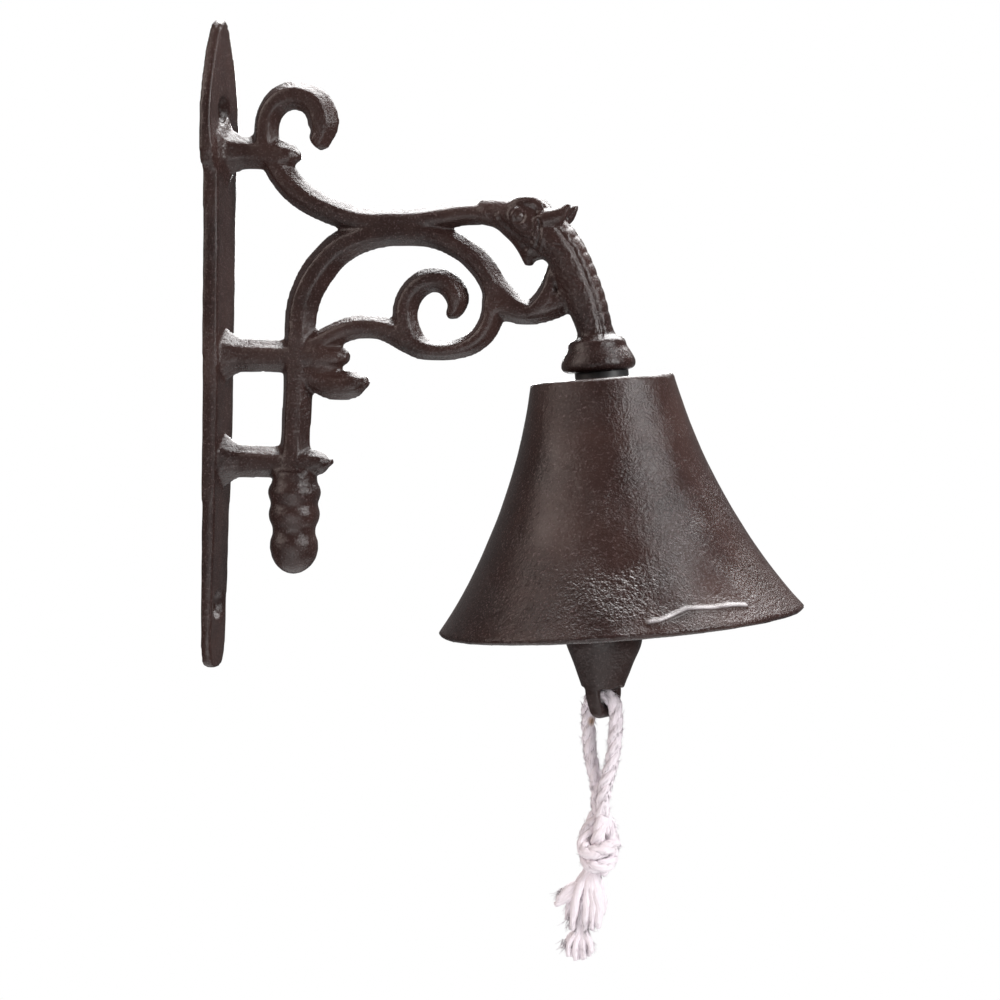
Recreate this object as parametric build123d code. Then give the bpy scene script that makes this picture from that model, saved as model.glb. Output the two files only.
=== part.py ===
"""Wall mounted bell on a cast scroll bracket, millimetres.

The origin is the middle of the two wall screws, on the wall. +X leads out of the wall, +Z up, and the
scrollwork lies in the plane y = 0. The bracket is one sand casting, and the bell is clamped under its collar
by an eye bolt. A chain link and the clapper hang in the eye, and a knotted rope hangs in the clapper.
"""

from build123d import *
import math
import os

os.makedirs("parts", exist_ok=True)

# --- wall plate -----------------------------------------------------------------------------------------------
plate_top = 114.6          # the tip above the origin
plate_bottom = -105.4
plate_t = 5.0              # between the top bar and the low bar
leaf_t = 3.6               # at the top
foot_t = 3.0               # at the bottom
plate_half = 9.4           # half the width between the ends
leaf_half = 13.6           # half the width of the leaf at the top
foot_half = 7.4            # half the width at the foot
plate_edge_r = 0.9
screw_spacing = 168.0
screw_hole_r = 2.8
screw_sink_r = 5.6
# --- bars and straps ------------------------------------------------------------------------------------------
bar_h = 11.0               # height of a bar's six-sided section
bar_t = 9.2                # its width across the plane of the scrollwork
flat_share = 0.40          # the flat on each side, as a share of the section's height
top_bar_z = 70.3
mid_bar_z = 1.9
low_bar_z = -34.1
post_x = 31.0
strap_t = 8.8              # thickness of the curled straps
finial_r = 8.9
collar_r = 12.2
collar_shift = 0.8         # the collar sits this far towards the wall from its bore
# --- bell -----------------------------------------------------------------------------------------------------
bell_x, bell_z = 136.7, -2.8   # centre of the crown's top
bell_tilt = 5.85           # the mouth swings out from the wall
bell_h = 80.4
crown_r = 23.3
mouth_r = 60.0
bell_wall = 4.2
lip_t = 3.0                # the wall at the mouth
# --- what clamps the bell -------------------------------------------------------------------------------------
spacer_t, spacer_r = 2.2, 8.8
bolt_r = 3.0               # M6
bore_gap = 0.25            # between the bolt and what it passes through
thread_gap = 0.05
bolt_up = 12.0             # thread in the collar, above the spacer
eye_drop = 24.0            # centre of the bolt's eye under the crown's top
eye_wire_r = 2.0
eye_mean_r = 5.4
washer_t, washer_r = 1.6, 9.0
nut_h, nut_af = 5.0, 10.0
# --- link, clapper, rope --------------------------------------------------------------------------------------
link_wire_r = 1.5
link_end_r = 4.2           # mean radius of the link's two ends
link_len = 10.0            # from the pivot in the bolt's eye to the pivot in the clapper's
lug_t, lug_r, lug_hole_r = 3.2, 5.8, 2.7
club_r = 12.7
club_z = -88.0             # where the clapper is thickest
ring_z = -106.8            # centre of the clapper's lower eye
ring_hole_r, ring_out_r = 3.3, 7.9
ring_t = 5.6               # the rope bends over this
ring_turn = 25.0           # the eye faces this far in front of +X
rope_d = 4.8
rope_top_z = -107.2        # centre of the rope where it lies in the eye
rope_half = 5.8            # half the distance between the legs, beside the eye
rope_gap = 0.35            # round the rope in the clapper
knot_top, knot_bottom = -147.0, -166.8
knot_r = 6.9
tail_bottom = -197.0


def write(shape, node):
    """One node, one file."""
    export_step(shape, f"parts/{node}.step")
    print(node, "volume", round(shape.volume), "valid", shape.is_valid)


def between(xs, ys, x):
    """Straight-line interpolation of ys over the rising xs."""
    for i in range(1, len(xs)):
        if x <= xs[i] or i == len(xs) - 1:
            share = (x - xs[i - 1]) / (xs[i] - xs[i - 1])
            return ys[i - 1] + (ys[i] - ys[i - 1]) * share


def hexagon(centre, side, height, width):
    """Six-sided section: ridges along `side`, flats across y."""
    flat = height * flat_share
    shape = [(height / 2, 0), (flat / 2, 1), (-flat / 2, 1), (-height / 2, 0), (-flat / 2, -1), (flat / 2, -1)]
    points = [centre + side * a + Vector(0, b * width / 2, 0) for a, b in shape]
    return Wire.make_polygon(points, close=True)


def oval(centre, side, height, width):
    """Elliptical section for what isn't a strap."""
    plane = Plane(origin=centre, x_dir=side, z_dir=side.cross(Vector(0, 1, 0)))
    return (plane * Ellipse(height / 2, width / 2)).wire()


def strap(stations, thick=strap_t, section=hexagon, per_run=2):
    """A solid through stations of (x, z, height in the plane[, thickness across it])."""
    points = [Vector(s[0], 0, s[1]) for s in stations]
    line = Spline(points)
    reach = [0.0]
    for a, b in zip(points, points[1:]):
        reach.append(reach[-1] + (b - a).length)
    share = [r / reach[-1] for r in reach]
    heights = [s[2] for s in stations]
    widths = [s[3] if len(s) > 3 else thick for s in stations]
    count = per_run * (len(stations) - 1)
    wires = []
    for i in range(count + 1):
        t = i / count
        tangent = line % t
        side = Vector(-tangent.Z, 0, tangent.X)
        wires.append(section(line @ t, side, between(share, heights, t), between(share, widths, t)))
    return Solid.make_loft(wires)


def turned(profile, place=None):
    """A closed outline of (radius, height) turned about the local Z axis."""
    face = make_face(Polyline([(r, 0, z) for r, z in profile], close=True))
    solid = revolve(face, Axis.Z)
    return (place * solid) if place else solid


# The bell and all that clamps it share a tilted frame, with its origin at the crown's top and local -Z down.
BELL = Location((bell_x, 0, bell_z)) * Rotation(0, -bell_tilt, 0)


def bell_point(depth):
    """A point on the bell's axis, `depth` under the crown's top."""
    a = math.radians(bell_tilt)
    return Vector(bell_x + depth * math.sin(a), 0, bell_z - depth * math.cos(a))


def plate_levels():
    """Heights between which the plate's thickness changes evenly."""
    low, high = low_bar_z + 14, top_bar_z - 8
    return [plate_bottom - 1, (plate_bottom + low) / 2, low, (low + high) / 2, high, top_bar_z + 12, plate_top + 1]


def plate_front(z):
    """How far the plate's front stands off the wall at a height."""
    half_way = (foot_t + plate_t) / 2
    return between(plate_levels(), [foot_t, half_way, plate_t, plate_t, plate_t, leaf_t, leaf_t], z)


def wall_plate():
    """Straight strap with a pointed leaf at the top and a blunt foot, and two countersunk holes."""
    half, leaf = plate_half, leaf_half
    top = Spline(
        [(0, plate_top), (0.36 * leaf, plate_top - 4.4), (0.80 * leaf, plate_top - 19), (leaf, plate_top - 36),
         (0.88 * leaf, plate_top - 48), (half, plate_top - 60)],
        tangents=[(1, -0.2), (0, -1)],
    )
    side = Line((half, plate_top - 60), (foot_half, plate_bottom + 22))
    foot = Spline(
        [(foot_half, plate_bottom + 22), (foot_half, plate_bottom + 9), (0.7 * foot_half, plate_bottom + 1.6),
         (0, plate_bottom)],
        tangents=[(0, -1), (-1, 0)],
    )
    right = top + side + foot
    left = mirror(right, about=Plane.YZ)
    outline = make_face(right.edges() + left.edges())
    deep = max(plate_t, leaf_t, foot_t)
    plate = extrude(Plane.YZ * outline, amount=deep)
    plate = fillet(plate.faces().sort_by(Axis.X)[-1].edges(), plate_edge_r)
    fronts = [(plate_front(z), z) for z in plate_levels()]
    profile = make_face(Polyline([(0, fronts[0][1])] + fronts + [(0, fronts[-1][1])], close=True))
    plate = plate & extrude(Plane.XZ * profile, amount=2 * leaf, both=True)
    for z in (screw_spacing / 2, -screw_spacing / 2):
        face = plate_front(z)
        hole = Location((deep / 2, 0, z), (0, 90, 0)) * Cylinder(screw_hole_r, deep + 2)
        sink_h = min(screw_sink_r - screw_hole_r, 0.8 * face)
        sink = Location((face - sink_h / 2 + 0.2, 0, z), (0, 90, 0)) * Cone(
            screw_hole_r, screw_sink_r + 0.2, sink_h + 0.4)
        plate = plate - hole - sink
    return plate


def bars():
    """Three bars that grow out of the plate with a flare, and the post that joins two of them."""
    def bar(z, stations):
        root = [(plate_t - 1, z, bar_h + 12, bar_t + 5), (plate_t + 0.9, z, bar_h + 6.6, bar_t + 3.4),
                (plate_t + 3, z, bar_h + 2.6, bar_t + 1.4), (plate_t + 6.5, z, bar_h + 0.5, bar_t)]
        return strap(root + stations, bar_t)

    t, m, w = top_bar_z, mid_bar_z, low_bar_z
    top = bar(t, [(16, t - 0.2, bar_h + 0.2), (23, t - 0.8, bar_h), (28, t - 1.2, 8.6, 8.6),
                  (31.2, t - 1.4, 3.6, 4.5)])
    middle = bar(m, [(post_x - 13, m, bar_h), (post_x - 3, m, bar_h), (post_x + 7, m + 0.3, 9.8, 9.4),
                     (post_x + 14, m + 0.3, 9.2, 9.2), (post_x + 18.2, m - 0.1, 4.6, 5.4)])
    low = bar(w, [(post_x - 15, w, bar_h), (post_x - 7, w, bar_h), (post_x + 1, w, 10.6),
                  (post_x + 8.5, w + 0.4, 8.4, 8.6), (post_x + 13.2, w + 0.8, 2.6, 3.6)])
    post = strap([(post_x + 1, m + 10.1, 10.8), (post_x + 0.6, m + 1.1, 11.2), (post_x + 0.4, m - 9.9, 10.9),
                  (post_x, w + 16.1, 10.2), (post_x - 0.4, w + 6.1, 10.6), (post_x - 0.5, w - 3.9, 12, 11),
                  (post_x - 0.4, w - 9.9, 15, 14)], 9.5)
    return [top, middle, low, post]


def hook():
    """The open curl on the top bar."""
    t = top_bar_z
    return strap([(19.2, t + 0.7, 9.4), (18.9, t + 6.7, 8.9), (20.2, t + 13.1, 9.1), (24.5, t + 17.8, 9.7),
                  (30.8, t + 18.9, 10.1), (36.6, t + 16.0, 10.7), (39.1, t + 10.4, 11.3),
                  (38.4, t + 5.0, 8.6, 7.8), (36.5, t + 2.4, 4.4, 4.6)], 9.0)


def arm():
    """The long arm from the top bar out to the animal's mouth."""
    t = top_bar_z
    return strap([(22.2, t - 2.1, 10.3), (26.1, t - 8.9, 9.9), (33.4, 55.0, 9.3), (43.3, 50.5, 9.1),
                  (53, 47.9, 8.9), (64, 47.6, 8.8), (76, 48.3, 8.7), (88, 50.2, 8.1), (100, 50.7, 7.8),
                  (108, 50.2, 7.6)], 8.6)


def c_scroll():
    """The big C under the arm, that curls round into the small scroll inside it, in three overlapping spans."""
    back = strap([(post_x + 1.0, mid_bar_z + 6.1, 11.2), (post_x + 1.1, mid_bar_z + 13.6, 11.4),
                  (34.2, 23.7, 11.6), (39.4, 32.3, 11.7), (46.9, 39.3, 11.3), (56.4, 42.8, 9.8),
                  (67, 43.8, 8.8), (78, 42.9, 8.2), (88.1, 38.9, 8.2), (95.7, 32.5, 8.7), (99.7, 24.7, 8.7),
                  (99.8, 18.6, 8.2)], 8.8)
    round_end = strap([(99.4, 22.5, 8.4), (99.0, 16.6, 8.2), (96.2, 10.8, 7.8), (91.4, 7.0, 7.0),
                       (85.8, 5.2, 6.4), (79.4, 4.9, 6.6), (73.4, 6.4, 8.6), (69.6, 9.6, 9)], 8.5)
    inner = strap([(75.8, 4.8, 6), (71.6, 9.0, 8.2), (69.2, 14.4, 8.6), (69.4, 20.2, 8.8), (72.6, 25.6, 8.6),
                   (78.4, 28.4, 8.4), (84.0, 26.8, 8.4), (86.9, 22.2, 8.4, 8), (85.8, 18.1, 5.6, 6.4),
                   (83.6, 16.9, 2.8, 4)], 8.2)
    return [back, round_end, inner]


def waves():
    """The short pieces that tie the C to the post and to the animal's neck."""
    x, m = post_x, mid_bar_z
    lower = strap([(x - 0.5, m + 1.6, 8.6), (x + 6, m + 3.7, 8.8), (43.6, 9.0, 8.4), (50, 11.7, 8.0),
                   (57, 12.5, 7.9), (63.6, 11.4, 8.6), (70, 8.0, 8.8), (75, 5.6, 6.6)], 8.0)
    leaf = strap([(x + 1.5, m - 3.4, 7), (x + 7.5, m - 7.6, 9.4), (x + 13.5, m - 9.2, 10.6),
                  (x + 19.6, m - 9.0, 9.8, 8.6), (x + 25.0, m - 7.6, 4.6, 5)], 8.4)
    web = strap([(x + 4, m - 2.6, 6), (x + 10, m - 4.2, 6), (x + 15.2, m - 4.8, 4.4, 4)], 7.4)
    branch = strap([(98.2, 21.6, 12.4), (102.6, 20.2, 9.8), (106.6, 18.7, 8.4), (110.6, 18.2, 8.2),
                    (115, 19.0, 9.0), (122, 22.0, 10), (128.5, 25.0, 11)], 8.3)
    crook = strap([(98.8, 29.8, 6), (102.9, 24.6, 6.6), (107.2, 20.9, 5.8), (111.4, 19.4, 5)], 7.6)
    bud = strap([(112.4, 18.2, 7), (116.2, 21.2, 8.6), (118.8, 25.6, 8.2), (119.4, 30.2, 6.2, 7.4),
                 (118.6, 33.6, 2.6, 4)], 8.9)
    return [lower, leaf, web, branch, crook, bud]


def animal():
    """Head that bites the arm, and the neck that bends down to the collar."""
    x, z = bell_x, bell_z
    body = strap([(95.4, 51.1, 8.2, 9.6), (100.6, 50.6, 9.8, 10.6), (106.2, 49.1, 13.2, 12.4),
                  (111.8, 47.0, 16.0, 13.8), (118.0, 43.3, 14.8, 14.2), (123.8, 37.3, 12.6, 13.8),
                  (127.0, 30.6, 13.2, 13.2), (x - 6.3, z + 25.4, 12.9, 12.8), (x - 3.4, z + 17.4, 11.4, 12.4),
                  (x - 1.7, z + 10.2, 11.0, 12.2)], section=oval)
    jaw = strap([(100.3, 48.0, 3.2, 7), (104.9, 45.1, 5.6, 8.6), (109.0, 41.4, 6.2, 8.2), (110.9, 37.0, 5.2, 6),
                 (111.0, 33.6, 2.4, 3)], section=oval)
    tuft = strap([(111.6, 38.6, 7, 9), (114.6, 37.9, 5.0, 7), (117.4, 37.8, 2.2, 4)], section=oval)
    parts = [body, jaw, tuft]
    for s in (-1, 1):
        eye = Location((108.4, s * 4.6, 49.7)) * Sphere(2.9)
        brow = strap([(105.2, 52.6, 2.6, 3), (109.4, 54.0, 4.2, 4.2), (113.4, 53.8, 4.4, 4.4),
                      (116.6, 52.0, 3.0, 3.4)], section=oval)
        ear = strap([(114.8, 48.4, 4.0, 3.8), (118.2, 48.6, 5.8, 4.6), (122.0, 49.6, 5.4, 4.2),
                     (124.4, 51.6, 3.2, 3.0), (125.7, 53.8, 1.2, 1.6)], section=oval)
        parts += [eye, Location((0, s * 3.7, 0)) * brow, Location((0, s * 5.2, 0)) * ear]
    return parts


def finial():
    """Two rings and a drop, turned about the post's foot."""
    z0 = low_bar_z - bar_h / 2 + 0.6
    r = finial_r
    profile = [(0, z0 + 2), (0.82 * r, z0 + 2), (0.86 * r, z0 - 2.0), (0.96 * r, z0 - 3.4), (r, z0 - 5.2),
               (0.96 * r, z0 - 6.8), (0.89 * r, z0 - 8.4), (0.89 * r, z0 - 9.6), (0.96 * r, z0 - 11.4),
               (0.97 * r, z0 - 13.0), (0.92 * r, z0 - 14.8), (0.81 * r, z0 - 16.8), (0.80 * r, z0 - 18.0)]
    ball_r, ball_z = 0.92 * r, z0 - 23.4
    profile += [(ball_r * math.cos(a), ball_z + ball_r * math.sin(a) * (1.0 if a > 0 else 1.14))
                for a in [math.radians(d) for d in (30, 12, -6, -24, -42, -58, -72)]]
    profile += [(0, ball_z - ball_r * 1.17)]
    return turned(profile, Location((post_x - 0.4, 0, 0)))


def collar():
    """Flared foot of the neck, with a bead round its top, that the bell is drawn up against."""
    s, r = spacer_t, collar_r
    profile = [(0, s), (r - 2.9, s), (r - 0.7, s + 0.7), (r, s + 2.0), (r - 0.2, s + 3.4), (r - 1.3, s + 5.6),
               (r - 2.4, s + 7.4), (r - 2.9, s + 8.2), (r - 2.7, s + 9.1), (r - 3.4, s + 10.2),
               (r - 5.0, s + 11.2), (r - 7.0, s + 12.3), (0, s + 12.8)]
    return turned(profile, BELL * Location((-collar_shift, 0, 0)))


def bracket():
    """Everything that is cast in one piece."""
    pieces = bars() + [hook(), arm()] + c_scroll() + waves() + animal() + [finial(), collar()]
    whole = wall_plate()
    for piece in pieces:
        whole = whole + piece
    bore = BELL * Location((0, 0, spacer_t + bolt_up / 2)) * Cylinder(bolt_r + thread_gap, bolt_up + 0.02)
    return whole - bore


def bell_radius(depth):
    """Outer radius at a depth under the crown's top: steep at first, then flaring."""
    share = depth / bell_h
    return crown_r + (mouth_r - crown_r) * (0.43 * share + 0.57 * share * share)


def bell():
    """Flared shell with a flat crown and a blunt lip, bored for the bolt."""
    shoulder, lip_round = 1.6, 1.2
    start, end = (bell_radius(shoulder), -shoulder), (mouth_r, lip_round - bell_h)
    run = (bell_h - shoulder) / 5
    out = Spline([(bell_radius(shoulder + run * i), -shoulder - run * i) for i in range(5)] + [end])
    crown_edge = (start[0] - 0.8 * shoulder, 0)
    top = ThreePointArc(crown_edge, (start[0] - 0.22 * shoulder, -0.3 * shoulder), start)
    crown_in = bell_wall + 0.8
    inner_top = (bell_radius(crown_in) - bell_wall, -crown_in - 3)
    run = (bell_h - 20) / 4
    inn = Spline([inner_top] + [(bell_radius(20 + run * i) - bell_wall, -20 - run * i) for i in range(4)]
                 + [(mouth_r - lip_t, -bell_h)])
    corner = (inner_top[0] - 3, -crown_in)
    hollow = ThreePointArc(inner_top, (inner_top[0] - 0.85, -crown_in - 0.9), corner)
    hole_r = bolt_r + bore_gap
    outline = [Line((hole_r, 0), crown_edge), top, out, Line(end, (mouth_r - lip_round, -bell_h)),
               Line((mouth_r - lip_round, -bell_h), (mouth_r - lip_t, -bell_h)), inn, hollow,
               Line(corner, (hole_r, -crown_in)), Line((hole_r, -crown_in), (hole_r, 0))]
    return BELL * revolve(make_face([Plane.XZ * e for e in outline]), Axis.Z)


def spacer():
    disc = Cylinder(spacer_r, spacer_t) - Cylinder(bolt_r + bore_gap, spacer_t)
    return BELL * Location((0, 0, spacer_t / 2)) * disc


def crown_washer():
    z = -(bell_wall + 0.8)
    disc = Cylinder(washer_r, washer_t) - Cylinder(bolt_r + bore_gap, washer_t)
    disc = fillet(disc.edges().filter_by(GeomType.CIRCLE).sort_by(Axis.Z)[0:1], 0.3)
    return BELL * Location((0, 0, z - washer_t / 2)) * disc


def lock_nut():
    """Hexagon nut with its corners turned off."""
    z = -(bell_wall + 0.8) - washer_t
    blank = extrude(RegularPolygon(nut_af / 2, 6, major_radius=False), amount=nut_h)
    corner = nut_af / 2 / math.cos(math.radians(30))
    turn = turned([(0, 0), (nut_af / 2 * 0.97, 0), (corner + 0.1, 0.9), (corner + 0.1, nut_h - 0.9),
                   (nut_af / 2 * 0.97, nut_h), (0, nut_h)])
    nut = (blank & turn) - Location((0, 0, nut_h / 2)) * Cylinder(bolt_r + thread_gap, nut_h + 1)
    return BELL * Location((0, 0, z - nut_h)) * nut


def eye_bolt():
    """M6 shank, in the collar's blind hole above and with a closed eye below."""
    neck = eye_drop - eye_mean_r
    length = spacer_t + bolt_up - 0.5 + neck
    shank = Location((0, 0, spacer_t + bolt_up - 0.5 - length / 2)) * Cylinder(bolt_r, length)
    shank = chamfer(shank.edges().sort_by(Axis.Z)[-1:], 0.6)
    eye = Location((0, 0, -eye_drop), (90, 0, 0)) * Torus(eye_mean_r, eye_wire_r)
    root = Location((0, 0, -neck + 1.2)) * Cone(bolt_r - 0.6, bolt_r, 2.4)
    return BELL * (shank + root + eye)


def pivots():
    """Where the link turns in the bolt's eye, and the clapper on the link."""
    top = bell_point(eye_drop) + Vector(0, 0, -eye_mean_r)
    return top, top + Vector(0, 0, -link_len)


def clapper_link():
    """Closed chain link of round wire in the plane x = const: two half rings and two rods."""
    top, low = pivots()
    r, w = link_end_r, link_wire_r
    box = Box(4 * r, 4 * r, 2 * r)
    full = Rotation(0, 90, 0) * Torus(r, w)
    cap = Location((top.X, 0, top.Z)) * (full & Location((0, 0, r)) * box)
    cup = Location((low.X, 0, low.Z)) * (full & Location((0, 0, -r)) * box)
    mid = (top.Z + low.Z) / 2
    rods = [Location((top.X, s * r, mid)) * Cylinder(w, top.Z - low.Z) for s in (-1, 1)]
    return cap + rods[0] + rods[1] + cup


def clapper():
    """Cast club: a flat lug with a cross hole on top, and an open eye across the foot for the rope."""
    _, low = pivots()
    pin = low.Z - link_end_r   # the link's lower wire lies in the lug's hole
    x, z0 = low.X, pin
    lug = Location((x, 0, z0), (90, 0, 0)) * Cylinder(lug_r, lug_t)
    lug = lug + Location((x, 0, z0 - 6.5)) * Box(8.4, lug_t, 8)
    hole = Location((x, 0, z0), (90, 0, 0)) * Cylinder(lug_hole_r, lug_t + 2)
    top = z0 - 8.5
    drop = top - club_z
    points = [(3.9, top - 0.05 * drop), (4.6, top - 0.25 * drop), (6.4, top - 0.48 * drop),
              (9.4, top - 0.72 * drop), (11.9, top - 0.90 * drop), (club_r, club_z), (0.85 * club_r, club_z - 6.3),
              (0.70 * club_r, club_z - 11.2), (0.56 * club_r, club_z - 16.2), (0.46 * club_r, club_z - 20.6),
              (0.35 * club_r, club_z - 24.2), (0.20 * club_r, ring_z - ring_out_r)]
    side = Spline([(2.9, top + 2.5)] + points, tangents=[(0.3, -1), (-1, -0.5)])
    end_r, end_z = points[-1]
    outline = [side, Line((end_r, end_z), (0, end_z)), Line((0, end_z), (0, top + 2.5)),
               Line((0, top + 2.5), (2.9, top + 2.5))]
    club = Location((x, 0, 0)) * revolve(make_face([Plane.XZ * e for e in outline]), Axis.Z)
    mean, high = (ring_hole_r + ring_out_r) / 2, ring_out_r - ring_hole_r
    section = Location((0, mean, 0)) * RectangleRounded(ring_t, high, high / 2 - 0.05)
    ring = revolve(Plane.XY * section, Axis.X)
    place = Location((x, 0, ring_z)) * Rotation(0, 0, -ring_turn)
    throat = place * Rotation(0, 90, 0) * Cylinder(ring_hole_r, 40)
    slot_top = rope_top_z + rope_d / 2 + rope_gap - ring_z
    slots = [place * Location((s * (ring_t / 4 + 10), 0, slot_top - 10)) * Box(20, 40, 20) for s in (-1, 1)]
    return (lug - hole) + (club - throat - slots[0] - slots[1]) + (club & (place * ring))


def rope_points(side):
    """One leg of the rope: out of the eye, down, and in towards the other leg."""
    x, z = pivots()[1].X, rope_top_z
    a = math.radians(ring_turn)
    dx, dy = rope_half * math.cos(a), -rope_half * math.sin(a)
    if side > 0:
        return [(x, 0, z), (x + dx, dy, z), (x + 5.4, -2.6, z - 11.4), (x + 4.5, -2.5, z - 21.7),
                (x + 1.3, -2.15, z - 31.6), (x + 1.3, -2.15, knot_top)]
    return [(x, 0, z), (x - dx, -dy, z), (x - 5.2, 2.4, z - 11.2), (x - 4.4, 2.3, z - 21.2),
            (x - 1.3, 2.15, z - 31.3), (x - 1.3, 2.15, knot_top)]


def rope_leg(side):
    """Plain tube along a leg: the bend over the eye is the eye's size, the rest as wide as the runs allow."""
    points = [Vector(*p) for p in rope_points(side)]
    radii = []
    for a, b, c in zip(points, points[1:], points[2:]):
        turn = math.radians((b - a).get_angle(c - b))
        radii.append(0.45 * min((b - a).length, (c - b).length) / math.tan(turn / 2))
    radii[0] = rope_half - 0.8
    path = FilletPolyline(points, radius=radii)
    start = Plane(origin=points[0], z_dir=(points[1] - points[0]).normalized())
    tube = sweep(start * Circle(rope_d / 2), path=path)
    want = math.pi * (rope_d / 2) ** 2 * path.length
    print("rope leg", side, "length", round(path.length, 1), "radii", [round(r, 1) for r in radii],
          "volume share", round(tube.volume / want, 4))
    return tube


def rope_knot():
    """Outer shape of the overhand knot in the doubled rope."""
    h = knot_top - knot_bottom
    r = knot_r
    side = [(0.74, 0), (0.93, 0.10), (1.0, 0.28), (0.93, 0.48), (0.97, 0.66), (0.92, 0.84), (0.66, 1.0)]
    profile = [(0, knot_top)] + [(r * a, knot_top - h * b) for a, b in side] + [(0, knot_bottom)]
    return turned(profile, Location((pivots()[1].X, 0, 0)))


def rope_tail():
    """Outer shape of the two frayed ends, which drift to the wall's side as they fall."""
    x = pivots()[1].X
    stations = [(x, knot_bottom, 4.4), (x - 0.8, knot_bottom - 5, 5.0), (x - 2.6, knot_bottom - 12, 5.9),
                (x - 3.6, knot_bottom - 18, 5.2), (x - 4.4, knot_bottom - 24, 6.0), (x - 4.8, tail_bottom, 3.4)]
    wires = [(Location((a, 0, z)) * Circle(r)).wire() for a, z, r in stations]
    return Solid.make_loft(wires)


if __name__ == "__main__":
    write(bracket(), "bracket")
    write(spacer(), "crown_spacer")
    write(bell(), "bell")
    write(crown_washer(), "crown_washer")
    write(lock_nut(), "lock_nut")
    write(eye_bolt(), "eye_bolt")
    write(clapper_link(), "clapper_link")
    write(clapper(), "clapper")
    write(rope_leg(1), "rope_leg_out")
    write(rope_leg(-1), "rope_leg_in")
    write(rope_knot(), "rope_knot")
    write(rope_tail(), "rope_tail")
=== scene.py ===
# %% [markdown]
# # A wall bell on a cast scroll bracket
#
# The bracket, the bell and the clapper are rough iron castings under brown paint. The bell is clamped to the
# bracket, the clapper swings on a chain link inside it, and a knotted cotton rope hangs from the clapper.
# The CAD frame gives every size and place. Here each casting gets its grain, and the rope gets its strands.

# %% The frame
import math
import random

import bmesh
import bpy
from mathutils import Matrix, Vector, noise


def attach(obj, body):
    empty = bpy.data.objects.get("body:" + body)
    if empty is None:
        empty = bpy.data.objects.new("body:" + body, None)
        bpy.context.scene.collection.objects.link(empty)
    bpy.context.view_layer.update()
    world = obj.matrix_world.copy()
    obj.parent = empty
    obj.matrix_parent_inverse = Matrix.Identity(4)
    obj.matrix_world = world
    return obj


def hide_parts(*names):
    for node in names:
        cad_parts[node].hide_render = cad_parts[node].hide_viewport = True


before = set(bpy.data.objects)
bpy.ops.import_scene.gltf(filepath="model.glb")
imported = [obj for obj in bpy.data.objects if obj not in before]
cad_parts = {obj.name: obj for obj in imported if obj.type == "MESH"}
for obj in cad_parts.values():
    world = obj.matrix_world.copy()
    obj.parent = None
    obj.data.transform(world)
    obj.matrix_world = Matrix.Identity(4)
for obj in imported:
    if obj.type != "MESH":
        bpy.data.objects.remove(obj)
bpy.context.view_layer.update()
MM = 0.001
FAR = 1e9
print("nodes", sorted(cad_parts))

# %% [markdown]
# ## Camera
#
# The camera stands a little to the open side of the bell and slightly above its crown, with a long lens, so
# that upright edges stay nearly parallel. It leans by one degree.

# %% Camera
CAMERA_PLACE = Vector((0.3260, -0.8196, 0.0195))
CAMERA_TURN = math.radians(15.23)
CAMERA_DOWN = math.radians(4.28)
CAMERA_LEAN = math.radians(1.06)
LENS_MM = 92.4


def make_camera():
    """A camera from its place and its three turns."""
    data = bpy.data.cameras.new("camera")
    data.lens, data.sensor_width = LENS_MM, 36.0
    camera = bpy.data.objects.new("camera", data)
    aim = Matrix.Rotation(CAMERA_TURN, 4, "Z") @ Matrix.Rotation(math.pi / 2 - CAMERA_DOWN, 4, "X")
    camera.matrix_world = Matrix.Translation(CAMERA_PLACE) @ aim @ Matrix.Rotation(CAMERA_LEAN, 4, "Z")
    bpy.context.collection.objects.link(camera)
    bpy.context.scene.camera = camera


make_camera()
bpy.context.scene.view_settings.view_transform = "Standard"

# %% [markdown]
# ## Node helpers
#
# Shaders are built from many small nodes. Short helpers make them readable: one adds a node, sets its values
# and joins its sockets, one makes a colour ramp, and the others open a group or a material, or place a group.

# %% Node helpers
def add(tree, kind, *links, **values):
    """A node of that kind. links are (input name, socket), values are its settings or plain inputs."""
    node = tree.nodes.new(kind)
    for key, value in values.items():
        if hasattr(node, key):
            setattr(node, key, value)
        else:
            node.inputs[key.replace("_", " ")].default_value = value
    for name, socket in links:
        tree.links.new(socket, node.inputs[name])
    return node


def ramp(tree, socket, *stops):
    """A colour ramp: each stop is (place, grey or colour)."""
    node = tree.nodes.new("ShaderNodeValToRGB")
    tree.links.new(socket, node.inputs["Fac"])
    marks = node.color_ramp.elements
    while len(marks) < len(stops):
        marks.new(0.5)
    for mark, (place, colour) in zip(marks, stops):
        mark.position = place
        mark.color = (colour, colour, colour, 1) if isinstance(colour, (int, float)) else (*colour, 1)
    return node.outputs["Color"]


def start_group(name, inputs, outputs):
    """A new shader node group; inputs are (name, kind, default), outputs are (name, kind)."""
    tree = bpy.data.node_groups.new(name, "ShaderNodeTree")
    for label, kind, value in inputs:
        socket = tree.interface.new_socket(label, in_out="INPUT", socket_type=kind)
        if value is not None:
            socket.default_value = value
    for label, kind in outputs:
        tree.interface.new_socket(label, in_out="OUTPUT", socket_type=kind)
    return tree, tree.nodes.new("NodeGroupInput").outputs, tree.nodes.new("NodeGroupOutput").inputs


def use_group(tree, group, **values):
    """That group placed in a material, with its plain inputs set."""
    node = tree.nodes.new("ShaderNodeGroup")
    node.node_tree = group
    for key, value in values.items():
        node.inputs[key.replace("_", " ")].default_value = value
    return node


def start_material(name):
    """A material with only its output, and the tree to fill."""
    material = bpy.data.materials.new(name)
    material.use_nodes = True
    tree = material.node_tree
    tree.nodes.clear()
    return material, tree, tree.nodes.new("ShaderNodeOutputMaterial")


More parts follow.
